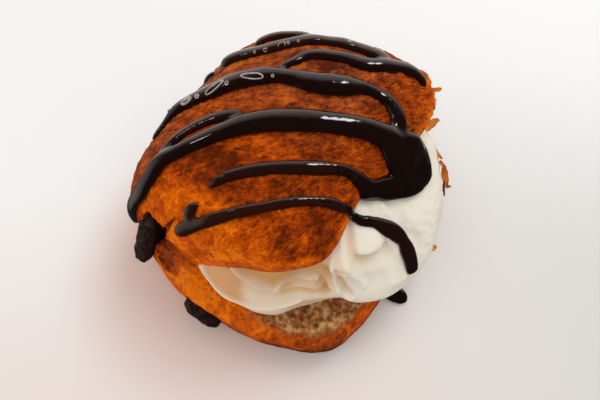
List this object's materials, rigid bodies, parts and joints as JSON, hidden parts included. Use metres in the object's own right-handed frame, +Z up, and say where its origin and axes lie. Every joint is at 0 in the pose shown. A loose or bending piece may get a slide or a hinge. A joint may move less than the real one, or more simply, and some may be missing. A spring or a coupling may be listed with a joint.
{
  "type": "pain au chocolat",
  "caption": "Split chocolate pastry roll, opened like a shell, filled with whipped cream, with chocolate bars inside and chocolate sauce drizzled over the lid.",
  "frame": {"origin": "middle of the base, on the surface that the pastry rests on", "axes": "+Z up; the open side with the cream faces +X and -Y, and the folded side faces -X and +Y"},
  "size_m": [0.1031, 0.099, 0.0538],
  "materials": {
    "crust": "browned flaky crust with glossy sauce",
    "cream": "soft satin whipped cream",
    "chocolate": "baked dark chocolate"
  },
  "bodies": {
    "root": {"pastry": "crust", "whipped_cream": "cream", "chocolate_baton_1": "chocolate", "chocolate_baton_2": "chocolate"}
  },
  "joints": []
}
